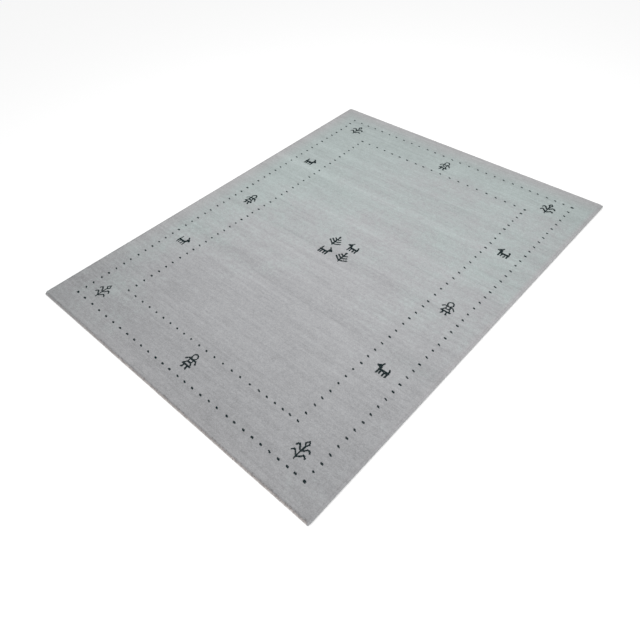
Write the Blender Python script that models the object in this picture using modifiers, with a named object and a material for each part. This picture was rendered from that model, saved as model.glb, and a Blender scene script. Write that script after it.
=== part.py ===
"""Gabbeh rug: a flat hand-knotted wool rug with woven ends and overcast side cords.

Units are metres and +Z is up. +X runs across the rug, along the weft, and +Y runs
along its length, along the warp. The origin is the middle of the flat underside.
The pattern, the knots and the yarn wraps are colour and fine texture, so they are
not raised here.
"""

import bpy

# The rug as a whole
RUG_WIDTH = 1.500
RUG_LENGTH = 1.974
RUG_THICKNESS = 0.012

# The overcast cord along each long side
SIDE_CORD_WIDTH = 0.008
SIDE_CORD_HEIGHT = 0.010
SIDE_CORD_ROUNDING = 0.0035

# The flat-woven end that shows past the pile at each short side
WOVEN_END_WIDTH = 0.006
WOVEN_END_THICKNESS = 0.0045
WOVEN_END_ROUNDING = 0.0015

# The pile's clipped rim: soft at the short ends, crisper where it meets the side cords
PILE_END_ROUNDING = 0.005
PILE_SIDE_ROUNDING = 0.002
PILE_SIDE_SETBACK = 0.0005

# The air left between two pieces that touch
TOUCHING_GAP = 0.0003

ROUNDING_SEGMENTS = 4

COLLECTION_NAME = "gabbeh_rug"
FORMS_COLLECTION_NAME = "joining_forms"

# Worked out from the sizes above
CLOTH_WIDTH = RUG_WIDTH - 2 * (SIDE_CORD_WIDTH + TOUCHING_GAP)
PILE_WIDTH = CLOTH_WIDTH - 2 * PILE_SIDE_SETBACK
PILE_LENGTH = RUG_LENGTH - 2 * WOVEN_END_WIDTH
PILE_FOOT = WOVEN_END_THICKNESS / 2

# Colour, roughness and metallic value of each material
MATERIALS = {
    "grey_wool_pile": ((0.41, 0.44, 0.45, 1.0), 0.95, 0.0),
    "grey_wool_overcast": ((0.36, 0.36, 0.36, 1.0), 0.90, 0.0),
}


def clear_scene():
    """Removes every object that the file opened with."""
    for obj in list(bpy.data.objects):
        bpy.data.objects.remove(obj, do_unlink=True)


def new_collection(name):
    """Makes a collection and links it to the scene."""
    collection = bpy.data.collections.new(name)
    bpy.context.scene.collection.children.link(collection)
    return collection


def new_material(name):
    """Makes a Principled material from the table above."""
    colour, roughness, metallic = MATERIALS[name]
    material = bpy.data.materials.new(name)
    material.use_nodes = True
    shader = material.node_tree.nodes["Principled BSDF"]
    shader.inputs["Base Color"].default_value = colour
    shader.inputs["Roughness"].default_value = roughness
    shader.inputs["Metallic"].default_value = metallic
    material.diffuse_color = colour
    return material


def add_box(name, size, centre, collection):
    """Adds a box of the given size, with its scale applied."""
    bpy.ops.mesh.primitive_cube_add(size=1.0, location=centre)
    box = bpy.context.active_object
    box.name = name
    box.scale = size
    bpy.ops.object.transform_apply(location=False, rotation=False, scale=True)
    for owner in list(box.users_collection):
        owner.objects.unlink(box)
    collection.objects.link(box)
    return box


def round_edges(obj, rounding_of):
    """Bevels each edge by the radius that rounding_of gives for its two end points."""
    mesh = obj.data
    radii = []
    for edge in mesh.edges:
        start, end = (mesh.vertices[index].co for index in edge.vertices)
        radii.append(rounding_of(start, end))
    bevel = obj.modifiers.new("soft_edges", "BEVEL")
    bevel.limit_method = "WEIGHT"
    bevel.width = max(radii)
    bevel.segments = ROUNDING_SEGMENTS
    weights = mesh.attributes.new("bevel_weight_edge", "FLOAT", "EDGE")
    for index, radius in enumerate(radii):
        weights.data[index].value = radius / bevel.width


def runs_across(start, end):
    """True for an edge that runs along the weft."""
    return abs(start.x - end.x) > TOUCHING_GAP


def pile_rounding(start, end):
    """Radius of an edge of the pile: none below, the soft one at the short ends."""
    if start.z < 0 and end.z < 0:
        return 0.0
    return PILE_END_ROUNDING if runs_across(start, end) else PILE_SIDE_ROUNDING


def foundation_rounding(start, end):
    """Radius of an edge of the foundation: only the woven ends' upper edges are rounded."""
    is_upper = start.z > 0 and end.z > 0
    return WOVEN_END_ROUNDING if is_upper and runs_across(start, end) else 0.0


def smooth(obj):
    """Shades the soft rounding smooth and keeps the flat faces crisp."""
    obj.data.shade_smooth()
    obj.data.set_sharp_from_angle(angle=0.6)


def build_pile_form(forms):
    """The clipped pile: a slab with a soft rim, set in from the cloth's four sides."""
    height = RUG_THICKNESS - PILE_FOOT
    pile = add_box(
        "pile_form",
        (PILE_WIDTH, PILE_LENGTH, height),
        (0.0, 0.0, PILE_FOOT + height / 2),
        forms,
    )
    round_edges(pile, pile_rounding)
    pile.hide_render = True
    pile.display_type = "WIRE"
    return pile


def build_rug_field(rug, forms):
    """The knotted cloth: the woven foundation, whose ends show, with the pile on it."""
    field = add_box(
        "rug_field",
        (CLOTH_WIDTH, RUG_LENGTH, WOVEN_END_THICKNESS),
        (0.0, 0.0, WOVEN_END_THICKNESS / 2),
        rug,
    )
    round_edges(field, foundation_rounding)
    union = field.modifiers.new("pile_on_foundation", "BOOLEAN")
    union.operation = "UNION"
    union.solver = "EXACT"
    union.object = build_pile_form(forms)
    field.data.materials.append(new_material("grey_wool_pile"))
    smooth(field)
    return field


def build_side_cord(name, side, material, rug):
    """An overcast cord along one long side, flat below where it lies on the floor."""
    cord = add_box(
        name,
        (SIDE_CORD_WIDTH, RUG_LENGTH, SIDE_CORD_HEIGHT),
        (side * (RUG_WIDTH - SIDE_CORD_WIDTH) / 2, 0.0, SIDE_CORD_HEIGHT / 2),
        rug,
    )
    bevel = cord.modifiers.new("soft_edges", "BEVEL")
    bevel.width = SIDE_CORD_ROUNDING
    bevel.segments = ROUNDING_SEGMENTS
    cord.data.materials.append(material)
    smooth(cord)
    return cord


def main():
    clear_scene()
    rug = new_collection(COLLECTION_NAME)
    forms = new_collection(FORMS_COLLECTION_NAME)
    build_rug_field(rug, forms)
    overcast = new_material("grey_wool_overcast")
    for name, side in (("side_cord_left", -1), ("side_cord_right", 1)):
        build_side_cord(name, side, overcast, rug)


main()
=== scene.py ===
"""Looks of the gabbeh rug: its knotted pile, charted motifs, overcast sides and woven ends.

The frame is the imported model: metres, +Z up, +X along the weft, +Y along the warp,
with the rug's underside on the floor at z = 0.
"""
import math

import bpy
import numpy as np
from mathutils import Matrix, Vector


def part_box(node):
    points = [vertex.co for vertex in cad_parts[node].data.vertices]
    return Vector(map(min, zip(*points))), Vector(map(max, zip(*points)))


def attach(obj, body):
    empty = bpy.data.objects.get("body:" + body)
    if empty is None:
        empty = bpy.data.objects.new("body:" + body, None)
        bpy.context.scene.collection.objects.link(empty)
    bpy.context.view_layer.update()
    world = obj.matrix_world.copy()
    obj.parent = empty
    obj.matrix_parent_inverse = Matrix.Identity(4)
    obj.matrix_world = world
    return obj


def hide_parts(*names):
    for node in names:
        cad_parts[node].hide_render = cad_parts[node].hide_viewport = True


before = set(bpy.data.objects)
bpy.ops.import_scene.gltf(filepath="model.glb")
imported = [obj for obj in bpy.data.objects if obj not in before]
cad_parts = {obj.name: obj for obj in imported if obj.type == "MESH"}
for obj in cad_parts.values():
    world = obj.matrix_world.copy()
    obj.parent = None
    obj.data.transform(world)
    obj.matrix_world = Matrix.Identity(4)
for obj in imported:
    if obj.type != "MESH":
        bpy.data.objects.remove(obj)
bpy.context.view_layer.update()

FIELD_LOW, FIELD_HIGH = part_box("rug_field")
CORD_LOW, CORD_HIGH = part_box("side_cord_right")

MM = 0.001
KNOT = 2.5 * MM
SEED = 20

RUG_WIDTH = CORD_HIGH.x * 2
RUG_LENGTH = FIELD_HIGH.y - FIELD_LOW.y
PILE_TOP = FIELD_HIGH.z
CORD_WIDTH = CORD_HIGH.x - CORD_LOW.x
CORD_HEIGHT = CORD_HIGH.z

PILE_SIDE_SETBACK = 0.5 * MM
WOVEN_END_WIDTH = 6 * MM
WOVEN_END_HEIGHT = 4.5 * MM
PILE_HALF_WIDTH = FIELD_HIGH.x - PILE_SIDE_SETBACK
PILE_HALF_LENGTH = FIELD_HIGH.y - WOVEN_END_WIDTH

# The photo's camera: where the eye stands, the floor point at the picture's centre, its roll and lens
EYE = (1.2852, -1.4188, 1.6192)
AIM = (0.2274, -0.3613, 0.0)
ROLL_DEGREES = -3.785
LENS_MM = 32.085
SENSOR_MM = 36.0


def rng_for(label):
    """A random generator of its own for each piece, the same each run."""
    return np.random.default_rng([SEED] + [ord(letter) for letter in label])


CREASE_ANGLE = math.radians(60)


def new_object(name, verts, faces, material, smooth=True):
    """Makes a mesh object from arrays of points and faces."""
    mesh = bpy.data.meshes.new(name)
    mesh.from_pydata(np.asarray(verts).tolist(), [], faces)
    mesh.validate()
    if smooth:
        mesh.shade_smooth()
        mesh.set_sharp_from_angle(angle=CREASE_ANGLE)
    obj = bpy.data.objects.new(name, mesh)
    bpy.context.scene.collection.objects.link(obj)
    obj.data.materials.append(material)
    return obj


def ring_faces(rings, points, flip=False):
    """Quads between successive closed rings of points, with a face over each end."""
    i = np.arange(rings - 1)[:, None]
    j = np.arange(points)[None, :]
    k = (j + 1) % points
    quads = np.stack([i * points + j, i * points + k, (i + 1) * points + k, (i + 1) * points + j], -1)
    quads = quads.reshape(-1, 4)
    if flip:
        quads = quads[:, ::-1]
    first = list(range(points))
    last = [(rings - 1) * points + n for n in range(points)]
    ends = [first, last[::-1]] if flip else [first[::-1], last]
    return quads.tolist() + ends


# Shape of the pile's surface

def waves(rng, count, shortest, longest):
    """Slow sine waves in random directions, as rows of (kx, ky, phase, height)."""
    length = rng.uniform(shortest, longest, count)
    turn = rng.uniform(0, math.tau, count)
    phase = rng.uniform(0, math.tau, count)
    k = math.tau / length
    return np.stack([k * np.cos(turn), k * np.sin(turn), phase, length / longest], 1)


UNEVEN_WAVES = waves(rng_for("uneven"), count=14, shortest=0.12, longest=0.60)
UNEVEN_DEPTH = 0.10 * MM


def unevenness(x, y):
    """How far the clipped surface stands above or below its mean height."""
    total = np.zeros(np.broadcast(x, y).shape)
    for kx, ky, phase, height in UNEVEN_WAVES:
        total += height * np.sin(kx * x + ky * y + phase)
    return total * UNEVEN_DEPTH


# The woven pattern, charted in knots

def ring(cx, cy, rx, ry, steps=18):
    """Points round an upright oval."""
    turn = np.linspace(0, math.tau, steps + 1)
    return [(cx + rx * math.sin(t), cy + ry * math.cos(t)) for t in turn]


def mirrored(chart):
    """The same chart facing the other way."""
    return [(kind, width, [(-x, y) for x, y in points]) for kind, width, points in chart]


# Each line of a chart is a stroke of some width, or a filled area, through points in knots
PLANT = [
    ("stroke", 2.5, [(0.5, -15), (0.5, 7)]),
    ("stroke", 2.3, [(0.5, 6.6), (-2.8, 10.6), (0.5, 15.2), (3.8, 10.8), (0.5, 6.6)]),
    ("stroke", 2.6, [(0.5, -1.8), (-2.2, -1), (-5.6, 3), (-8, 4.8), (-9.4, 4), (-10.8, 1.6)]),
    ("stroke", 2.6, [(0.5, -1.8), (3.2, -0.4), (6.2, 3.8), (8.4, 4.6), (10, 4.2), (11.8, 1.8)]),
    ("stroke", 2.6, [(0.5, -11.4), (-2.2, -9.4), (-5.6, -5.4), (-8, -4.6), (-10.6, -7.8)]),
    ("stroke", 2.6, [(0.5, -11.4), (3.4, -9.8), (6, -7.2), (7.6, -5), (10, -5.2), (12.2, -7.2)]),
]
PERSON = [
    ("stroke", 2.4, ring(-0.2, 10.0, 4.7, 5.2)),
    ("stroke", 2.5, [(-3.4, 4.6), (3.4, 4.6), (3.4, -1), (-3.4, -1), (-3.4, 4.6)]),
    ("stroke", 2.5, [(-3.4, 4.6), (-7.2, 4.8), (-10.4, 1.0)]),
    ("stroke", 2.5, [(3.4, 4.6), (7, 5.2), (10.6, 0.6)]),
    ("stroke", 2.3, [(-3.4, -1), (-6.8, -6.8)]),
    ("stroke", 2.3, [(3.4, -1), (7.6, -6.8)]),
    ("stroke", 3.0, [(-7.2, -6.9), (8.2, -6.9)]),
    ("stroke", 2.8, [(-2.8, -7), (-2.9, -12), (-4.4, -13.2)]),
    ("stroke", 2.8, [(3.4, -7), (3.6, -12), (5.0, -13.2)]),
]
GOAT = [
    ("area", 2.4, [(-11.4, 4.4), (-7.4, 7.6), (-4.8, 6.0), (-5.6, 2.8)]),
    ("stroke", 4.4, [(-6.0, 5.4), (-4.2, -0.4)]),
    ("stroke", 2.6, [(-6.2, 8.2), (-4.6, 11.2)]),
    ("stroke", 4.4, [(-4.4, -0.8), (9.6, -0.8)]),
    ("stroke", 2.7, [(-5.4, -1), (-5.7, -8.2)]),
    ("stroke", 2.7, [(-0.9, -1), (-0.9, -7.6)]),
    ("stroke", 2.7, [(5.0, -1), (4.8, -8.0)]),
    ("stroke", 2.7, [(9.6, -1), (9.4, -7.8)]),
    ("stroke", 2.8, [(9.8, -1), (9.9, 3.0), (8.4, 6.4)]),
]
HORNED_GOAT = [
    ("area", 2.4, [(-11.4, 3.2), (-7.6, 7.6), (-4.8, 6.4), (-6.0, 2.6)]),
    ("stroke", 4.2, [(-6.2, 5.4), (-5.0, -0.4)]),
    ("stroke", 2.6, [(-7.0, 7.0), (-3.2, 11.4)]),
    ("stroke", 4.4, [(-5.0, -0.8), (9.4, -0.8)]),
    ("stroke", 2.7, [(-5.8, -1), (-6.0, -8.2)]),
    ("stroke", 2.7, [(-1.0, -1), (-0.8, -8.0)]),
    ("stroke", 2.7, [(4.8, -1), (5.0, -8.0)]),
    ("stroke", 2.7, [(9.4, -1), (9.2, -8.2)]),
    ("stroke", 2.6, [(9.4, -0.6), (9.2, 6.8)]),
]
TREE = [
    ("stroke", 2.6, [(0, -12.0), (0, 10)]),
    ("stroke", 3.6, [(0, 9.2), (0, 11.6)]),
    ("stroke", 2.5, [(0, -10.4), (-11.6, -3)]),
    ("stroke", 2.5, [(0, -4.2), (-9.0, 1.4)]),
    ("stroke", 2.5, [(0, 2), (-6.2, 5.8)]),
    ("stroke", 2.5, [(0, -10.0), (6, -8), (12.0, -4)]),
    ("stroke", 2.5, [(0, -4.0), (5, -2), (8.8, 1)]),
    ("stroke", 2.5, [(0, 2.2), (5.6, 5.4)]),
]

# Where each motif stands on the rug, in millimetres from its middle, and how thick its lines are
MOTIFS = [
    (PLANT, -563, -821, 0.84), (PERSON, 9, -826, 1.0), (PLANT, 567, -821, 0.97),
    (mirrored(HORNED_GOAT), -560, -403, 0.94), (GOAT, 567, -406, 1.06),
    (PERSON, -552, 1, 1.02), (PERSON, 573, -9, 0.90),
    (mirrored(HORNED_GOAT), -549, 421, 1.0), (GOAT, 573, 407, 1.03),
    (PLANT, -561, 813, 1.04), (PERSON, 11, 808, 0.90), (PLANT, 569, 805, 1.06),
    (TREE, -28, 28, 1.05), (GOAT, 62, 32, 1.02),
    (mirrored(HORNED_GOAT), -23, -51, 0.93), (TREE, 64, -38, 1.08),
]

# The dotted lines, in millimetres: how many dots, the line's two ends, how far the weaver's
# spacing runs ahead along it (three slow waves), how far the line bows sideways (two), and
# the usual size of its dots, as a place in the list of forms below
DOT_LINES = [
    {"dots": 30, "start": (-639, -893), "end": (648, -895),
     "ahead": (47, 6, 8), "bow": (-2, -2), "form": 4.2},
    {"dots": 28, "start": (-639, 888), "end": (650, 877),
     "ahead": (28, -12, 2), "bow": (0, -1), "form": 2.0},
    {"dots": 47, "start": (-640, -893), "end": (-639, 888),
     "ahead": (-17, 0, 0), "bow": (2, -2), "form": 3.0},
    {"dots": 46, "start": (648, -895), "end": (650, 877),
     "ahead": (6, 0, 0), "bow": (2, 0), "form": 2.7},
    {"dots": 23, "start": (-482, -752), "end": (482, -752),
     "ahead": (27, -6, 9), "bow": (-2, -1), "form": 0.9},
    {"dots": 20, "start": (-466, 741), "end": (492, 733),
     "ahead": (-3, -3, 3), "bow": (1, 0), "form": 2.7},
    {"dots": 41, "start": (-482, -752), "end": (-466, 741),
     "ahead": (-16, 7, 6), "bow": (9, -5), "form": 2.4},
    {"dots": 38, "start": (482, -752), "end": (492, 733),
     "ahead": (15, -11, 4), "bow": (6, -1), "form": 2.3},
]

# The few ways in which a dot was knotted, from small to large: the knots along the weft in
# each of its rows, top row first
DOT_FORMS = [
    ((0, 1, 2), (0, 1, 2, 3), (1, 2)),
    ((0, 1, 2), (0, 1, 2, 3), (1, 2, 3)),
    ((0, 1, 2), (0, 1, 2, 3), (1, 2, 3, 4)),
    ((0, 1, 2), (0, 1, 2, 3, 4), (2, 3, 4)),
    ((0, 1, 2, 3), (0, 1, 2, 3, 4), (1, 2, 3, 4)),
    ((0, 1, 2, 3), (0, 1, 2, 3, 4), (0, 1, 2, 3, 4)),
]


# How far the weaver strays from the chart of a motif: its lean as a slope, its points in knots
MOTIF_LEAN_SPREAD = 0.012
MOTIF_POINT_SPREAD = 0.12

# And from the even spacing and the usual form of the dots: in millimetres, and in steps of the list
DOT_PLACE_SPREAD = 1.2
DOT_FORM_SPREAD = 1.3

# From a dot's left side to its middle, in knots
DOT_HALF_WIDTH = 2.2


def cells_near(points, reach, closed_area):
    """Knots whose middle lies within reach of a line through points, or inside it."""
    points = np.array(points, float)
    low = np.floor(points.min(0) - reach).astype(int)
    high = np.ceil(points.max(0) + reach).astype(int)
    gx, gy = np.meshgrid(np.arange(low[0], high[0] + 1), np.arange(low[1], high[1] + 1))
    px, py = gx + 0.5, gy + 0.5
    line = np.vstack([points, points[:1]]) if closed_area else points
    near = np.zeros(px.shape, bool)
    inside = np.zeros(px.shape, bool)
    for (ax, ay), (bx, by) in zip(line[:-1], line[1:]):
        dx, dy = bx - ax, by - ay
        t = np.clip(((px - ax) * dx + (py - ay) * dy) / max(dx * dx + dy * dy, 1e-9), 0, 1)
        near |= np.hypot(px - ax - t * dx, py - ay - t * dy) <= reach
        if closed_area and ay != by:
            inside ^= ((ay > py) != (by > py)) & (px < ax + (py - ay) * dx / dy)
    chosen = near | inside
    return set(zip(gx[chosen].tolist(), gy[chosen].tolist()))


def motif_cells(chart, x, y, thickness, rng):
    """The dark knots of one motif, each one woven a little differently."""
    column, row = x * MM / KNOT, y * MM / KNOT
    lean = rng.normal(0, MOTIF_LEAN_SPREAD)
    cells = set()
    for kind, width, points in chart:
        shifted = []
        for px, py in points:
            across = column + px + lean * py + rng.normal(0, MOTIF_POINT_SPREAD)
            shifted.append((across, row + py + rng.normal(0, MOTIF_POINT_SPREAD)))
        if points[0] == points[-1]:
            shifted[-1] = shifted[0]
        cells |= cells_near(shifted, width * thickness / 2, kind == "area")
    return cells


def dot_cells(line, rng):
    """The dark knots of one dotted line."""
    t = np.linspace(0, 1, line["dots"])
    start, end = np.array(line["start"], float), np.array(line["end"], float)
    along = (end - start) / np.linalg.norm(end - start)
    aside = np.array([along[1], along[0]])
    cells = set()
    for s in t:
        ahead = sum(size * math.sin((n + 1) * math.pi * s) for n, size in enumerate(line["ahead"]))
        bow = sum(size * math.sin((n + 1) * math.pi * s) for n, size in enumerate(line["bow"]))
        ahead += rng.normal(0, DOT_PLACE_SPREAD)
        middle = (start + (end - start) * s + along * ahead + aside * bow) * MM / KNOT
        size = round(rng.normal(line["form"], DOT_FORM_SPREAD))
        form = DOT_FORMS[min(max(size, 0), len(DOT_FORMS) - 1)]
        column = int(round(middle[0] - DOT_HALF_WIDTH))
        row = int(round(middle[1] - len(form) / 2))
        for step, knots in enumerate(form):
            cells |= {(column + k, row + len(form) - 1 - step) for k in knots}
    return cells


def motif_knots():
    rng = rng_for("motifs")
    return set().union(*(motif_cells(*motif, rng) for motif in MOTIFS))


def dotted_knots():
    rng = rng_for("dotted lines")
    return set().union(*(dot_cells(line, rng) for line in DOT_LINES))


# Meshes

PILE_COLUMNS = 51
PILE_SIDE_ROUNDING = 2 * MM
PILE_END_ROUNDING = 5 * MM
PILE_FOOT_TUCK = 1.5 * MM
GROOVE_DEPTH = 0.40 * MM
ARC_STEPS = 5

# The rows of knots differ in height, at a few stations across the rug, but not at its very ends
ROW_HEIGHT_SPREAD = 0.06 * MM
ROW_STATIONS = 8
LEVEL_END = 8 * MM


def pile_stations():
    """Places along the rug of the pile's rings: each one's y, its height, and how deep its groove is."""
    inner = PILE_HALF_LENGTH - PILE_END_ROUNDING
    half_rows = int(inner / (KNOT / 2))
    y = np.arange(-half_rows, half_rows + 1) * KNOT / 2
    groove = np.where(np.arange(-half_rows, half_rows + 1) % 2 == 0, 1.0, 0.0)
    turn = np.linspace(0, math.pi / 2, ARC_STEPS + 1)[:-1]
    arc_y = PILE_HALF_LENGTH - PILE_END_ROUNDING * (1 - np.cos(turn))
    arc_z = PILE_TOP - PILE_END_ROUNDING * (1 - np.sin(turn))
    arc_y = np.concatenate([[PILE_HALF_LENGTH], arc_y])
    arc_z = np.concatenate([[WOVEN_END_HEIGHT - PILE_FOOT_TUCK], arc_z])
    ys = np.concatenate([-arc_y, y, arc_y[::-1]])
    zs = np.concatenate([arc_z, np.full(len(y), PILE_TOP), arc_z[::-1]])
    grooves = np.concatenate([np.zeros(len(arc_y)), groove, np.zeros(len(arc_y))])
    return ys, zs, grooves


def build_pile(material):
    rng = rng_for("pile")
    ys, zs, grooves = pile_stations()
    turn = np.linspace(0, math.pi / 2, 3)
    side_x = PILE_HALF_WIDTH - PILE_SIDE_ROUNDING * (1 - np.cos(turn))
    side_drop = PILE_SIDE_ROUNDING * (1 - np.sin(turn))
    inner_x = np.linspace(side_x[-1], -side_x[-1], PILE_COLUMNS)[1:-1]
    xs = np.concatenate([[PILE_HALF_WIDTH], side_x, inner_x, -side_x[::-1], [-PILE_HALF_WIDTH]])
    drop = np.concatenate([[0], side_drop, np.zeros(len(inner_x)), side_drop[::-1], [0]])
    on_top = np.ones(len(xs))
    on_top[[0, -1]] = 0
    row_height = rng.normal(0, ROW_HEIGHT_SPREAD, (len(ys) // 2 + 1, ROW_STATIONS))
    row_height = np.repeat(row_height, 2, 0)[: len(ys)]
    spread = np.linspace(0, ROW_STATIONS - 1, len(xs))
    low = np.floor(spread).astype(int).clip(0, ROW_STATIONS - 2)
    part = spread - low
    row_height = row_height[:, low] * (1 - part) + row_height[:, low + 1] * part
    z = zs[:, None] - drop[None, :] - grooves[:, None] * GROOVE_DEPTH
    inland = np.minimum(1, np.maximum(0, (PILE_HALF_LENGTH - np.abs(ys)) / LEVEL_END))[:, None]
    z = z + inland * (row_height + unevenness(xs[None, :], ys[:, None]))
    z = np.where(on_top[None, :] > 0, z, 0.0)
    points = np.stack([np.broadcast_to(xs, z.shape), np.broadcast_to(ys[:, None], z.shape), z], -1)
    faces = ring_faces(len(ys), len(xs), flip=True)
    return new_object("knotted_pile", points.reshape(-1, 3), faces, material)


# A tuft's section: its sides and how uneven they are, the shares of its rise at which its shoulder
# and crown stand, and the share of its width at the crown
TUFT_SIDES = 6
TUFT_UNEVENNESS = 0.09
TUFT_SHOULDER = 0.25
TUFT_CROWN = 0.9
TUFT_CROWN_WIDTH = 0.55


def tufts(rng, centres, axes_u, axes_v, axes_w, half_u, half_v, depth, rise):
    """Rounded tuft ends: a skirt below, a shoulder ring and a crown, standing along axes_w."""
    count = len(centres)
    turn = np.arange(TUFT_SIDES) / TUFT_SIDES * math.tau + rng.uniform(0, math.tau, (count, 1))
    reach = rng.normal(1.0, TUFT_UNEVENNESS, (count, TUFT_SIDES)).clip(0.8, 1.2)
    cos, sin = np.cos(turn) * reach, np.sin(turn) * reach

    def ring_at(scale, height):
        flat = (cos[:, :, None] * (half_u * scale)[:, None, None] * axes_u[:, None, :]
                + sin[:, :, None] * (half_v * scale)[:, None, None] * axes_v[:, None, :])
        return centres[:, None, :] + flat + (height[:, None] * axes_w)[:, None, :]

    skirt = ring_at(np.ones(count), -depth)
    shoulder = ring_at(np.ones(count), rise * TUFT_SHOULDER)
    crown = ring_at(np.full(count, TUFT_CROWN_WIDTH), rise * TUFT_CROWN)
    tip = (centres + rise[:, None] * axes_w)[:, None, :]
    verts = np.concatenate([skirt, shoulder, crown, tip], 1)
    n = TUFT_SIDES
    size = 3 * n + 1
    faces = []
    for level in range(2):
        for k in range(n):
            m = (k + 1) % n
            faces.append((level * n + k, level * n + m, (level + 1) * n + m, (level + 1) * n + k))
    for k in range(n):
        faces.append((2 * n + k, 2 * n + (k + 1) % n, 3 * n, 3 * n))
    quads = np.array(faces)
    all_faces = (quads[None] + (np.arange(count) * size)[:, None, None]).reshape(-1, 4)
    clean = [tuple(f[:3]) if f[2] == f[3] else tuple(f) for f in all_faces.tolist()]
    for tuft in range(count):
        clean.append(tuple(tuft * size + k for k in reversed(range(n))))
    return verts.reshape(-1, 3), clean


# A dark knot, in millimetres: half its width, half its length, its rise above the pile, how much
# these and its place differ from knot to knot, and how deep it is sunk
DARK_HALF_WIDTH = 1.62
DARK_HALF_LENGTH = 1.56
DARK_RISE = 0.42
DARK_SIZE_SPREAD = 0.12
DARK_RISE_SPREAD = 0.07
DARK_PLACE_SPREAD = 0.14
DARK_SUNK = 0.05
DARK_DEPTH = 1.2

# How far it turns, in radians, and leans, as a slope
DARK_TURN_SPREAD = 0.25
DARK_LEAN_SPREAD = 0.06


def build_dark_knots(name, cells, material):
    """Knots of the pattern, standing a hair above the grey ones round them."""
    rng = rng_for(name)
    cells = np.array(sorted(cells))
    count = len(cells)
    x = (cells[:, 0] + 0.5) * KNOT + rng.normal(0, DARK_PLACE_SPREAD * MM, count)
    y = (cells[:, 1] + 0.5) * KNOT + rng.normal(0, DARK_PLACE_SPREAD * MM, count)
    z = PILE_TOP + unevenness(x, y) - DARK_SUNK * MM
    turn = rng.normal(0, DARK_TURN_SPREAD, count)
    lean = rng.normal(0, DARK_LEAN_SPREAD, (count, 2))
    axis_u = np.stack([np.cos(turn), np.sin(turn), np.zeros(count)], 1)
    axis_v = np.stack([-np.sin(turn), np.cos(turn), np.zeros(count)], 1)
    axis_w = np.stack([lean[:, 0], lean[:, 1], np.ones(count)], 1)
    half_u = rng.normal(DARK_HALF_WIDTH, DARK_SIZE_SPREAD, count) * MM
    half_v = rng.normal(DARK_HALF_LENGTH, DARK_SIZE_SPREAD, count) * MM
    depth = np.full(count, DARK_DEPTH * MM)
    rise = rng.normal(DARK_RISE, DARK_RISE_SPREAD, count) * MM
    centres = np.stack([x, y, z], 1)
    verts, faces = tufts(rng, centres, axis_u, axis_v, axis_w, half_u, half_v, depth, rise)
    return new_object(name, verts, faces, material)


# Rows of tufts down each rounded end: how high their sides reach and how far in from the pile's end
# they stand in millimetres, how far they lean out in degrees, their length in millimetres, and how
# many plies of yarn a knot has
END_TUFT_ROWS = [
    (7.6, -0.1, 8, 3.4, 2),
    (9.6, 0.7, 14, 3.0, 1),
    (11.0, 1.9, 20, 2.4, 1),
    (11.7, 3.5, 8, 1.6, 1),
]


# The same tufts: how far their lean differs in degrees, half their width as a share of their
# spacing, and half their thickness in millimetres
END_TUFT_LEAN_SPREAD = 7
END_TUFT_HALF_WIDTH = 0.58
END_TUFT_HALF_THICKNESS = 1.15

# The tufts along the sides: their lean in degrees, half their width and thickness in millimetres,
# and how far out past the pile's side, below its top and down into it they stand
SIDE_TUFT_LEAN = 24
SIDE_TUFT_HALF_WIDTH = 1.66
SIDE_TUFT_HALF_THICKNESS = 1.85
SIDE_TUFT_OUT = 0.1 * MM
SIDE_TUFT_DROP = 1.2 * MM
SIDE_TUFT_DEPTH = 1.6 * MM

# All the tufts at the edges: how far they rise and between which limits, in millimetres, and how
# far they lean to either side, as a slope
EDGE_TUFT_RISE = 0.7
EDGE_TUFT_RISE_LIMITS = (0.3, 1.2)
EDGE_TUFT_SWAY = 0.10

# How far short of the pile's two ends, or of its two sides, a row of tufts stops
TUFT_ROW_MARGIN_ALONG = 4 * MM
TUFT_ROW_MARGIN_ACROSS = 2 * MM


def build_end_tufts(name, side, material):
    """The last rows of tufts, which splay out over one woven end."""
    rng = rng_for(name)
    knots = int(2 * (PILE_HALF_WIDTH - TUFT_ROW_MARGIN_ACROSS) / KNOT)
    parts = []
    for height, inset, lean, length, plies in END_TUFT_ROWS:
        count = knots * plies
        pitch = KNOT / plies
        x = (np.arange(count) - (count - 1) / 2) * pitch + rng.normal(0, 0.10 * pitch, count)
        y = np.full(count, side * (PILE_HALF_LENGTH - inset * MM)) + rng.normal(0, 0.2 * MM, count)
        z = height * MM + rng.normal(0, 0.30 * MM, count)
        angle = np.radians(lean + rng.normal(0, END_TUFT_LEAN_SPREAD, count))
        sway = rng.normal(0, EDGE_TUFT_SWAY, count)
        axis_w = np.stack([sway, side * np.sin(angle), np.cos(angle)], 1)
        axis_u = np.stack([np.ones(count), np.zeros(count), np.zeros(count)], 1)
        axis_v = np.cross(axis_w, axis_u)
        half_u = rng.normal(END_TUFT_HALF_WIDTH, 0.05, count) * pitch
        half_v = rng.normal(END_TUFT_HALF_THICKNESS, 0.10, count) * MM
        depth = np.full(count, length * MM)
        rise = rng.normal(EDGE_TUFT_RISE, 0.2, count).clip(*EDGE_TUFT_RISE_LIMITS) * MM
        parts.append((np.stack([x, y, z], 1), axis_u, axis_v, axis_w, half_u, half_v, depth, rise))
    verts, faces = tufts(rng, *(np.concatenate(column) for column in zip(*parts)))
    return new_object(name, verts, faces, material)


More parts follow.
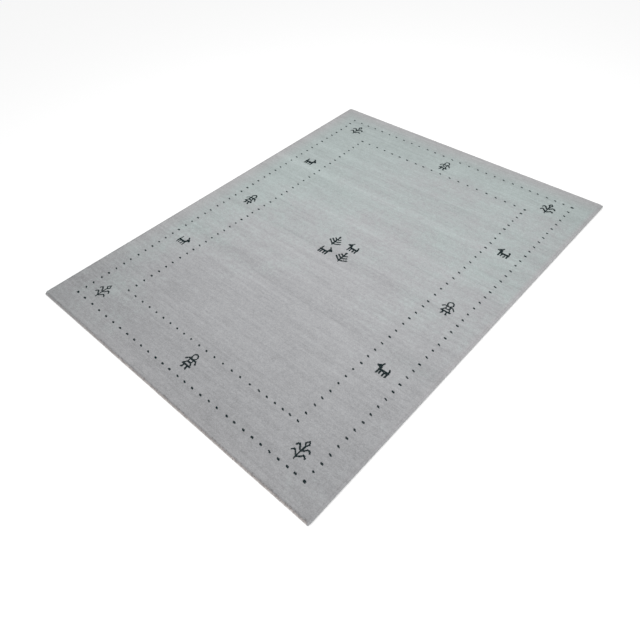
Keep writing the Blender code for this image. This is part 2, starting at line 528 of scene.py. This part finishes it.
def build_side_tufts(name, side, material):
    """The outermost tufts along one long side, which lean over the overcast cord."""
    rng = rng_for(name)
    rows = int(2 * (PILE_HALF_LENGTH - TUFT_ROW_MARGIN_ALONG) / KNOT)
    y = (np.arange(rows) - (rows - 1) / 2) * KNOT + rng.normal(0, 0.2 * MM, rows)
    x = np.full(rows, side * (PILE_HALF_WIDTH + SIDE_TUFT_OUT)) + rng.normal(0, 0.25 * MM, rows)
    z = np.full(rows, PILE_TOP - SIDE_TUFT_DROP) + rng.normal(0, 0.22 * MM, rows)
    angle = np.radians(SIDE_TUFT_LEAN) + rng.normal(0, 0.16, rows)
    sway = rng.normal(0, EDGE_TUFT_SWAY, rows)
    axis_w = np.stack([side * np.sin(angle), sway, np.cos(angle)], 1)
    axis_u = np.stack([np.zeros(rows), np.ones(rows), np.zeros(rows)], 1)
    axis_v = np.cross(axis_w, axis_u)
    half_u = rng.normal(SIDE_TUFT_HALF_WIDTH, 0.14, rows) * MM
    half_v = rng.normal(SIDE_TUFT_HALF_THICKNESS, 0.18, rows) * MM
    rise = rng.normal(EDGE_TUFT_RISE, 0.15, rows).clip(*EDGE_TUFT_RISE_LIMITS) * MM
    centres = np.stack([x, y, z], 1)
    depth = np.full(rows, SIDE_TUFT_DEPTH)
    verts, faces = tufts(rng, centres, axis_u, axis_v, axis_w, half_u, half_v, depth, rise)
    return new_object(name, verts, faces, material)


# The wool's turns round a cord: their spacing, how deep the grooves between them are as a share of
# the cord, how sharp, how far each turn runs aslant, and how much turns stray and differ
WRAP_PITCH = 3.2 * MM
WRAP_STEPS = 4
WRAP_DEPTH = 0.13
WRAP_SHARPNESS = 1.4
WRAP_SLANT = 0.5 * MM
WRAP_WANDER = 0.02
WRAP_FATNESS_SPREAD = 0.025

# The wound cord's section, which is squarer below, how far it grows past the bare cord in width and
# height, and how it narrows to its ends: over what length, and to which shares of width and height
CORD_POINTS = 14
CORD_POWER_BELOW = 0.50
CORD_POWER_ABOVE = 0.75
CORD_TUCK = 1.8 * MM
CORD_RISE = 1.7 * MM
CORD_SET_IN = 0.5 * MM
CORD_END_GAP = 0.3 * MM
CORD_END_TAPER = 11 * MM
CORD_TAPER_POWER = 0.7
CORD_END_WIDTH = 0.45
CORD_END_HEIGHT = 0.30


def build_overcast(name, side, material):
    """Wool wound close round a side cord, its turns lying a little aslant."""
    rng = rng_for(name)
    turns = int(RUG_LENGTH / WRAP_PITCH)
    rings = turns * WRAP_STEPS + 1
    y = np.linspace(-RUG_LENGTH / 2 + CORD_END_GAP, RUG_LENGTH / 2 - CORD_END_GAP, rings)
    turn = np.arange(CORD_POINTS) / CORD_POINTS * math.tau
    power = np.where(np.sin(turn) < 0, CORD_POWER_BELOW, CORD_POWER_ABOVE)
    out = np.sign(np.cos(turn)) * np.abs(np.cos(turn)) ** power
    up = np.sign(np.sin(turn)) * np.abs(np.sin(turn)) ** power
    wander = np.cumsum(rng.normal(0, WRAP_WANDER, turns + 2))
    number = np.arange(rings) / WRAP_STEPS
    slip = np.interp(number, np.arange(turns + 2), wander - wander.mean())
    fat = np.interp(number, np.arange(turns + 2), rng.normal(1, WRAP_FATNESS_SPREAD, turns + 2))
    phase = (number + slip * 0.3)[:, None] + 0.45 * out[None, :] * side
    swell = 1 - WRAP_DEPTH * (1 - np.abs(np.sin(math.pi * phase))) ** WRAP_SHARPNESS
    swell = swell * fat[:, None]
    taper = np.clip((RUG_LENGTH / 2 - np.abs(y)) / CORD_END_TAPER, 0, 1)[:, None]
    taper = taper ** CORD_TAPER_POWER
    width = CORD_WIDTH + CORD_TUCK
    height = CORD_HEIGHT + CORD_RISE
    middle = side * ((RUG_WIDTH - width) / 2 - CORD_SET_IN)
    wide = CORD_END_WIDTH + (1 - CORD_END_WIDTH) * taper
    high = CORD_END_HEIGHT + (1 - CORD_END_HEIGHT) * taper
    x = middle + out[None, :] * width / 2 * swell * wide
    z = np.maximum(height / 2 * (1 + up[None, :] * swell), 0.1 * MM) * high
    y_slant = y[:, None] + WRAP_SLANT * out[None, :] * side
    points = np.stack([x, np.broadcast_to(y_slant, x.shape), z], -1)
    return new_object(name, points.reshape(-1, 3), ring_faces(rings, CORD_POINTS), material)


# The flat-woven ends: steps to a warp, ribs and steps to a rib, and how far a rib stands up, which
# is a mean share with another share added or taken off where the weft passes over or under
WARP_STEPS = 3
WEFT_RIBS = 5
RIB_STEPS = 4
RIB_RISE = 0.55 * MM
RIB_MEAN = 0.62
RIB_CROSSING = 0.24
WARP_LOOSENESS = 0.12

# Their rounded edge, how far they run in under the pile, and how far the edge sways, every so many warps
END_CORNER = 1.5 * MM
UNDER_PILE = 2 * MM
SWAY_WARPS = 40
SWAY_SPREAD = 0.15 * MM
WOVEN_SIDE_GAP = 0.2 * MM


def woven_end_profile():
    """The strip's section, from the floor up and in under the pile, with its outward normals."""
    set_in = RIB_RISE + 0.1 * MM
    wall = WOVEN_END_HEIGHT - RIB_RISE - END_CORNER
    flat = WOVEN_END_WIDTH + UNDER_PILE - set_in - END_CORNER
    bend = END_CORNER * math.pi / 2
    s = np.linspace(0, wall + bend + flat, WEFT_RIBS * RIB_STEPS + 1)
    turn = np.clip((s - wall) / END_CORNER, 0, math.pi / 2)
    inward = set_in + END_CORNER * (1 - np.cos(turn)) + np.maximum(s - wall - bend, 0)
    up = np.minimum(s, wall) + END_CORNER * np.sin(turn)
    return inward, up, -np.cos(turn), np.sin(turn)


def build_woven_end(name, side, material):
    """The flat-woven strip past the pile: weft ribs that pass over and under the warps by turns."""
    rng = rng_for(name)
    warps = int(2 * FIELD_HIGH.x / KNOT)
    rings = warps * WARP_STEPS + 1
    x = np.linspace(-FIELD_HIGH.x + WOVEN_SIDE_GAP, FIELD_HIGH.x - WOVEN_SIDE_GAP, rings)
    number = np.arange(rings) / WARP_STEPS
    inward, up, normal_in, normal_up = woven_end_profile()
    rib = np.linspace(0, WEFT_RIBS, len(inward))
    over = np.cos(math.pi * (number[:, None] + np.floor(rib.clip(0, WEFT_RIBS - 0.01))[None, :]))
    loose = np.interp(number, np.arange(warps + 2), rng.normal(0, WARP_LOOSENESS, warps + 2))[:, None]
    ribbed = np.abs(np.sin(math.pi * rib))[None, :] * (RIB_MEAN + RIB_CROSSING * over)
    bulge = RIB_RISE * (ribbed + loose)
    sway_at = np.arange(0, warps + SWAY_WARPS, SWAY_WARPS)
    sway = np.interp(number, sway_at, rng.normal(0, SWAY_SPREAD, len(sway_at)))
    inward = inward[None, :] + normal_in[None, :] * bulge + sway[:, None]
    z = np.maximum(up[None, :] + normal_up[None, :] * bulge, 0)
    foot_in = np.full((rings, 1), WOVEN_END_WIDTH + UNDER_PILE)
    inward = np.hstack([np.maximum(inward, 0.02 * MM), foot_in])
    z = np.hstack([z, np.zeros((rings, 1))])
    y = side * (RUG_LENGTH / 2 - inward)
    points = np.stack([np.broadcast_to(x[:, None], z.shape), y, z], -1)
    faces = ring_faces(rings, z.shape[1], flip=side < 0)
    return new_object(name, points.reshape(-1, 3), faces, material)


# Materials

class Shader:
    """A Principled material and short names for the nodes that feed it."""

    def __init__(self, name, roughness, sheen, sheen_roughness=0.5, specular=0.25):
        self.material = bpy.data.materials.new(name)
        self.material.use_nodes = True
        self.nodes = self.material.node_tree.nodes
        self.links = self.material.node_tree.links
        self.principled = self.nodes["Principled BSDF"]
        self.principled.inputs["Roughness"].default_value = roughness
        self.principled.inputs["Sheen Weight"].default_value = sheen
        self.principled.inputs["Sheen Roughness"].default_value = sheen_roughness
        self.principled.inputs["Specular IOR Level"].default_value = specular
        self.place = self.nodes.new("ShaderNodeTexCoord").outputs["Object"]

    def feed(self, socket, value):
        if isinstance(value, bpy.types.NodeSocket):
            self.links.new(value, socket)
        else:
            socket.default_value = value

    def maths(self, operation, first, second=0.0, third=0.0):
        node = self.nodes.new("ShaderNodeMath")
        node.operation = operation
        for socket, value in zip(node.inputs, (first, second, third)):
            self.feed(socket, value)
        return node.outputs[0]

    def scaled(self, size):
        """The place in units of size, which may differ along each axis."""
        node = self.nodes.new("ShaderNodeMapping")
        node.inputs["Scale"].default_value = [1 / s for s in size]
        self.links.new(self.place, node.inputs["Vector"])
        return node.outputs["Vector"]

    def noise(self, size, detail=1.0, shift=0.0):
        """Noise of the given grain size along each axis, from about -0.5 to 0.5."""
        node = self.nodes.new("ShaderNodeTexNoise")
        node.noise_dimensions = "4D"
        node.inputs["W"].default_value = shift
        node.inputs["Scale"].default_value = 1.0
        node.inputs["Detail"].default_value = detail
        self.links.new(self.scaled(size), node.inputs["Vector"])
        return self.maths("SUBTRACT", node.outputs["Fac"], 0.5)

    def axis(self, name):
        node = self.nodes.new("ShaderNodeSeparateXYZ")
        self.links.new(self.place, node.inputs[0])
        return node.outputs[name]

    def blend(self, first, second, factor):
        node = self.nodes.new("ShaderNodeMix")
        node.data_type = "RGBA"
        self.feed(node.inputs["Factor"], factor)
        self.feed(node.inputs["A"], first)
        self.feed(node.inputs["B"], second)
        return node.outputs["Result"]

    def brighten(self, colour, factor):
        """Colour times a factor that varies over the surface."""
        node = self.nodes.new("ShaderNodeVectorMath")
        node.operation = "SCALE"
        self.feed(node.inputs["Vector"], colour)
        self.feed(node.inputs["Scale"], factor)
        return node.outputs["Vector"]

    def ramp(self, value, low, high, to_low=0.0, to_high=1.0):
        node = self.nodes.new("ShaderNodeMapRange")
        node.interpolation_type = "SMOOTHSTEP"
        for socket, number in zip(node.inputs, (value, low, high, to_low, to_high)):
            self.feed(socket, number)
        return node.outputs["Result"]

    def weighted(self, base, *terms):
        """base plus each (weight, value) term."""
        total = base
        for weight, value in terms:
            total = self.maths("MULTIPLY_ADD", value, weight, total)
        return total

    def knots(self, size):
        """0 at the middle of each knot of a slightly loose grid, rising to its rim."""
        node = self.nodes.new("ShaderNodeTexVoronoi")
        node.feature = "F1"
        node.inputs["Scale"].default_value = 1.0
        node.inputs["Randomness"].default_value = 0.45
        self.links.new(self.scaled(size), node.inputs["Vector"])
        return node.outputs["Distance"]

    def bump(self, height, strength, distance):
        node = self.nodes.new("ShaderNodeBump")
        node.inputs["Strength"].default_value = strength
        node.inputs["Distance"].default_value = distance
        self.links.new(height, node.inputs["Height"])
        self.links.new(node.outputs["Normal"], self.principled.inputs["Normal"])

    def colour(self, value):
        self.feed(self.principled.inputs["Base Color"], value)
        return self.material


NEUTRAL_GREY = (0.338, 0.341, 0.350, 1.0)
COOL_GREY = (0.349, 0.394, 0.388, 1.0)
RIM_GREY = (0.374, 0.370, 0.376, 1.0)
ROOT_GREY = (0.436, 0.416, 0.411, 1.0)
# The dark brown below is painted shade for the gaps between knots and tufts, with some brown foundation
# showing there.
SHADED_GAP_BROWN = (0.090, 0.070, 0.064, 1.0)
WARP_CREAM = (0.456, 0.425, 0.416, 1.0)
WEFT_GREY = (0.286, 0.266, 0.261, 1.0)
LEFT_END_GREY = (0.308, 0.306, 0.312, 1.0)
DARK_TEAL = (0.0045, 0.0120, 0.0130, 1.0)
DARK_SLATE = (0.0080, 0.0180, 0.0200, 1.0)

# The plainest of the bands across the field where one batch of yarn gave way to the next:
# the place along the rug and the half width in millimetres, and how much lighter it is
ABRASH_BANDS = [
    (580, 14, 0.04), (548, 12, -0.04), (440, 12, -0.03), (385, 18, 0.06), (318, 14, -0.03),
    (264, 12, -0.03), (160, 30, 0.03), (-48, 13, -0.06), (-100, 14, 0.03), (-150, 16, 0.03),
    (-233, 16, 0.04), (-320, 18, -0.06), (-380, 16, 0.04),
]

BAND_WANDER = 0.015


def abrash(s, wander):
    """How much lighter the field is from its yarn batches; wander bends the bands a little."""
    y = s.weighted(s.axis("Y"), (BAND_WANDER, wander))
    total = 0.0
    for place, half_width, change in ABRASH_BANDS:
        away = s.maths("ABSOLUTE", s.maths("SUBTRACT", y, place * MM))
        total = s.maths("ADD", s.ramp(away, 0.0, 2 * half_width * MM, change, 0.0), total)
    return total


def border_shade(s):
    """Painted shade for dimmer light near the borders: a little darker towards the edges, most at the
    near end.
    """
    side = s.ramp(s.maths("ABSOLUTE", s.axis("X")), 0.50, 0.76, 0.0, -0.045)
    far = s.ramp(s.axis("Y"), 0.70, 1.00, 0.0, -0.05)
    near = s.ramp(s.axis("Y"), -1.02, -0.38, -0.130, 0.0)
    left = s.ramp(s.axis("X"), -0.75, -0.15, 1.0, 0.0)
    left_change = s.maths("MULTIPLY", left, s.ramp(s.axis("Y"), -0.8, 0.2, -0.05, 0.035))
    return s.maths("ADD", s.maths("ADD", side, far), s.maths("ADD", near, left_change))


# How far in from each edge the greyer rim reaches, in metres
LEFT_RIM = 0.100
RIGHT_RIM = 0.030
END_RIM = 0.115


def rim_nearness(s):
    """0 over the field, rising to 1 at the rug's edges, where the cooler wool is blended towards a
    plainer grey.
    """
    from_end = s.maths("SUBTRACT", RUG_LENGTH / 2, s.maths("ABSOLUTE", s.axis("Y")))
    left = s.maths("MULTIPLY", s.maths("ADD", s.axis("X"), RUG_WIDTH / 2), 1 / LEFT_RIM)
    right = s.maths("MULTIPLY", s.maths("SUBTRACT", RUG_WIDTH / 2, s.axis("X")), 1 / RIGHT_RIM)
    end = s.maths("MULTIPLY", from_end, 1 / END_RIM)
    near = s.ramp(s.maths("MINIMUM", s.maths("MINIMUM", left, right), end), 0.0, 1.0, 0.95, 0.0)
    return s.maths("MULTIPLY", near, s.ramp(s.axis("Y"), -0.95, 0.0, 0.30, 1.0))


def cool_share(s, *noises):
    """How much of the cooler dye lot there is: most at the left and along the far border."""
    along = s.ramp(s.axis("Y"), -0.65, 0.45, -0.85, 0.12)
    left = s.ramp(s.axis("X"), -0.45, -0.05, 0.45, 0.0)
    far_border = s.ramp(s.axis("Y"), 0.70, 0.80, 0.0, 0.45)
    left_border = s.ramp(s.axis("X"), -0.60, -0.46, 0.27, 0.0)
    right_border = s.ramp(s.axis("X"), 0.47, 0.56, 0.0, 0.12)
    borders = s.maths("ADD", s.maths("ADD", left_border, right_border), far_border)
    drift = s.maths("ADD", s.maths("ADD", along, left), borders)
    return s.ramp(s.weighted(drift, *noises), -0.60, 0.80)


def wool_grey(s):
    """The field's colour: two dye lots of grey that drift across the rug, streaked along the weft, with
    painted shade towards the borders and painted light over the middle and far end.
    """
    fine = s.noise((0.050, 0.0040, 0.05), detail=2.0, shift=1.3)
    middle = s.noise((0.160, 0.0080, 0.05), detail=2.0, shift=4.1)
    long = s.noise((0.700, 0.0110, 0.05), detail=2.0, shift=7.7)
    wide = s.noise((0.500, 0.0500, 0.05), detail=2.0, shift=5.9)
    blotch = s.noise((0.260, 0.2200, 0.05), detail=2.0, shift=2.9)
    patch = s.noise((0.070, 0.0380, 0.05), detail=2.0, shift=6.6)
    mottle = s.noise((0.016, 0.0120, 0.05), detail=3.0, shift=5.2)
    grain = s.noise((0.0040, 0.0035, 0.0035), detail=2.0, shift=9.4)
    slub = s.ramp(s.noise((0.060, 0.0050, 0.05), detail=1.0, shift=12.8), 0.20, 0.32)
    light = s.weighted(1.0, (0.17, fine), (0.18, middle), (0.22, long), (0.12, wide), (0.10, blotch),
                       (0.14, patch), (0.27, mottle), (0.58, grain), (0.06, slub))
    light = s.maths("ADD", light, s.maths("ADD", abrash(s, wide), border_shade(s)))
    cool = cool_share(s, (1.5, blotch), (0.9, patch), (1.2, mottle))
    neutral = s.maths("SUBTRACT", 1.0, cool)
    # Painted light: the neutral wool is made up to 8.5% lighter from a little before the middle of the
    # rug to its far end, for the brighter light there.
    light = s.maths("MULTIPLY_ADD", neutral, s.ramp(s.axis("Y"), -0.45, 0.10, 0.0, 0.085), light)
    grey = s.blend(NEUTRAL_GREY, COOL_GREY, cool)
    return s.brighten(s.blend(grey, RIM_GREY, rim_nearness(s)), light)


# Painted shade: the dark line of brown ticks at the foot of the pile's ends, for the shaded groove
# there: its place in from the end, where it is full and where it has faded, and its strength
GROOVE_SHADE_INSET = 0.9 * MM
GROOVE_SHADE_FULL = 1.0 * MM
GROOVE_SHADE_FADED = 2.6 * MM
GROOVE_SHADE_STRENGTH = 0.38

# The paler roots of the splayed tufts show up to this height
ROOT_TOP = 10.5 * MM


def pile_material():
    s = Shader("wool_pile", roughness=0.92, sheen=0.22, sheen_roughness=0.45, specular=0.15)
    distance = s.knots((KNOT, KNOT, 0.02))
    colour = wool_grey(s)
    # Painted shade: each knot a little lighter at its middle and darker towards its rim, for the shaded
    # gaps between knots.
    rim = s.ramp(distance, 0.25, 0.75, 1.02, 0.90)
    colour = s.brighten(colour, rim)
    height = s.axis("Z")
    ragged = s.noise((0.009, 0.05, 0.004), detail=2.0, shift=3.3)
    root = s.ramp(s.weighted(height, (0.004, ragged)), WOVEN_END_HEIGHT, ROOT_TOP, 0.8, 0.0)
    colour = s.blend(colour, ROOT_GREY, root)
    # Painted shade: dark brown ticks along the foot of each end of the pile, for the shaded groove and
    # gaps there.
    shaded_gap_ticks = s.ramp(s.noise((0.0075, 0.05, 0.05), detail=2.0, shift=7.1), 0.02, 0.12)
    from_end = s.maths("SUBTRACT", PILE_HALF_LENGTH, s.maths("ABSOLUTE", s.axis("Y")))
    from_groove_shade = s.maths("ABSOLUTE", s.maths("SUBTRACT", from_end, GROOVE_SHADE_INSET))
    groove_shade = s.ramp(from_groove_shade, GROOVE_SHADE_FULL, GROOVE_SHADE_FADED, GROOVE_SHADE_STRENGTH, 0.0)
    colour = s.blend(colour, SHADED_GAP_BROWN, s.maths("MULTIPLY", shaded_gap_ticks, groove_shade))
    fibre = s.noise((0.0012, 0.0012, 0.0012), detail=3.0)
    s.bump(s.weighted(0.0, (-1.0, distance), (0.6, fibre)), 0.55, 0.0006)
    return s.colour(colour)


def dark_material():
    s = Shader("wool_dark", roughness=0.95, sheen=0.015, sheen_roughness=0.5, specular=0.08)
    tone = s.maths("ADD", s.noise((0.004, 0.004, 0.004), detail=2.0), 0.5)
    s.bump(s.noise((0.0009, 0.0009, 0.0009), detail=3.0), 0.5, 0.0004)
    return s.colour(s.blend(DARK_TEAL, DARK_SLATE, tone))


def overcast_material():
    s = Shader("wool_overcast", roughness=0.90, sheen=0.20, sheen_roughness=0.45, specular=0.18)
    yarn = s.noise((0.02, 0.0032, 0.02), detail=1.0, shift=6.0)
    fibre = s.noise((0.0030, 0.0005, 0.0030), detail=2.0, shift=8.0)
    light = s.weighted(s.ramp(s.axis("X"), -0.1, 0.1, 0.825, 0.925), (0.24, yarn), (0.18, fibre))
    colour = s.brighten(wool_grey(s), light)
    s.bump(fibre, 0.5, 0.0003)
    return s.colour(colour)


def woven_end_material():
    s = Shader("woven_end", roughness=0.90, sheen=0.12, specular=0.18)
    patch = s.noise((0.0075, 0.05, 0.05), detail=2.0, shift=4.4)
    warp = s.noise((0.0032, 0.004, 0.01), detail=1.0, shift=1.1)
    fibre = s.noise((0.0006, 0.0030, 0.0030), detail=2.0, shift=8.8)
    mix = s.ramp(s.weighted(0.0, (1.0, patch), (0.6, warp)), -0.14, 0.16)
    colour = s.blend(WEFT_GREY, WARP_CREAM, mix)
    # Greyer and darker towards the left side of the strip.
    colour = s.blend(colour, LEFT_END_GREY, s.ramp(s.axis("X"), -0.75, -0.15, 0.80, 0.0))
    # Painted shade: dark brown ticks for the shaded gaps between the warp knots along the strip.
    speck = s.noise((0.0065, 0.006, 0.05), detail=1.0, shift=7.1)
    gap_shade = s.ramp(s.weighted(0.0, (0.8, speck), (0.5, patch)), 0.10, 0.20)
    colour = s.blend(colour, SHADED_GAP_BROWN, s.maths("MULTIPLY", gap_shade, 0.8))
    colour = s.brighten(colour, s.weighted(1.0, (0.25, fibre)))
    s.bump(fibre, 0.5, 0.0003)
    return s.colour(colour)


# Stage

FLOOR_HALF = 9.0
FLOOR_Z = -0.3 * MM
FLOOR_WHITE = (0.95, 0.95, 0.95, 1.0)
SKY_WHITE = (1.0, 1.0, 1.0, 1.0)
SKY_STRENGTH = 0.96


def build_floor():
    sides = ((-1, -1), (1, -1), (1, 1), (-1, 1))
    corners = [(x * FLOOR_HALF, y * FLOOR_HALF, FLOOR_Z) for x, y in sides]
    s = Shader("pale_floor", roughness=0.9, sheen=0.0, specular=0.0)
    s.colour(FLOOR_WHITE)
    floor = new_object("studio_floor", corners, [(0, 1, 2, 3)], s.material, smooth=False)


def area_light(name, place, aim, size, watts):
    light = bpy.data.lights.new(name, "AREA")
    light.shape = "SQUARE"
    light.size = size
    light.energy = watts
    obj = bpy.data.objects.new(name, light)
    bpy.context.scene.collection.objects.link(obj)
    obj.location = place
    obj.rotation_euler = look_rotation(np.array(aim, float) - np.array(place, float))


def look_rotation(direction, roll=0.0):
    """Euler angles that point an object's -Z along direction, turned about it by roll."""
    turn = Vector(direction).to_track_quat("-Z", "Y").to_matrix()
    return (turn @ Matrix.Rotation(roll, 3, "Z")).to_euler()


def build_camera():
    camera = bpy.data.cameras.new("photo_camera")
    camera.lens = LENS_MM
    camera.sensor_width = SENSOR_MM
    camera.sensor_fit = "HORIZONTAL"
    camera.clip_end = 100
    obj = bpy.data.objects.new("photo_camera", camera)
    bpy.context.scene.collection.objects.link(obj)
    obj.location = EYE
    obj.rotation_euler = look_rotation(np.array(AIM) - np.array(EYE), math.radians(ROLL_DEGREES))
    bpy.context.scene.camera = obj


def build_light():
    world = bpy.data.worlds.new("studio")
    world.use_nodes = True
    background = world.node_tree.nodes["Background"]
    background.inputs["Color"].default_value = SKY_WHITE
    background.inputs["Strength"].default_value = SKY_STRENGTH
    bpy.context.scene.world = world
    area_light("front_fill", place=(2.4, -2.6, 1.6), aim=(0.2, -0.5, 0.0), size=2.5, watts=22)
    area_light("softbox", place=(0.10, 0.05, 2.0), aim=(0.10, 0.05, 0.0), size=1.4, watts=14)


def set_colours():
    view = bpy.context.scene.view_settings
    view.view_transform = "Standard"
    view.look = "None"
    view.exposure = 0.0
    view.gamma = 1.0


def main():
    set_colours()
    build_camera()
    build_light()
    build_floor()

    wool = pile_material()
    overcast = overcast_material()
    woven = woven_end_material()

    pile = build_pile(wool)
    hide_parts("rug_field")

    dark = dark_material()
    trim = []
    for name, cells in (("dotted_lines", dotted_knots()), ("motifs", motif_knots())):
        knots = build_dark_knots(name, cells, dark)
        trim.append(knots)
    for name, side in (("near", -1), ("far", 1)):
        end = build_woven_end("woven_end_" + name, side, woven)
        splay = build_end_tufts("end_tufts_" + name, side, wool)
        trim += [end, splay]
    for name, side in (("left", -1), ("right", 1)):
        lean = build_side_tufts("side_tufts_" + name, side, wool)
        cord = build_overcast("overcast_" + name, side, overcast)
        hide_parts("side_cord_" + name)
        trim += [lean, cord]

    for piece in [pile] + trim:
        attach(piece, "root")


main()
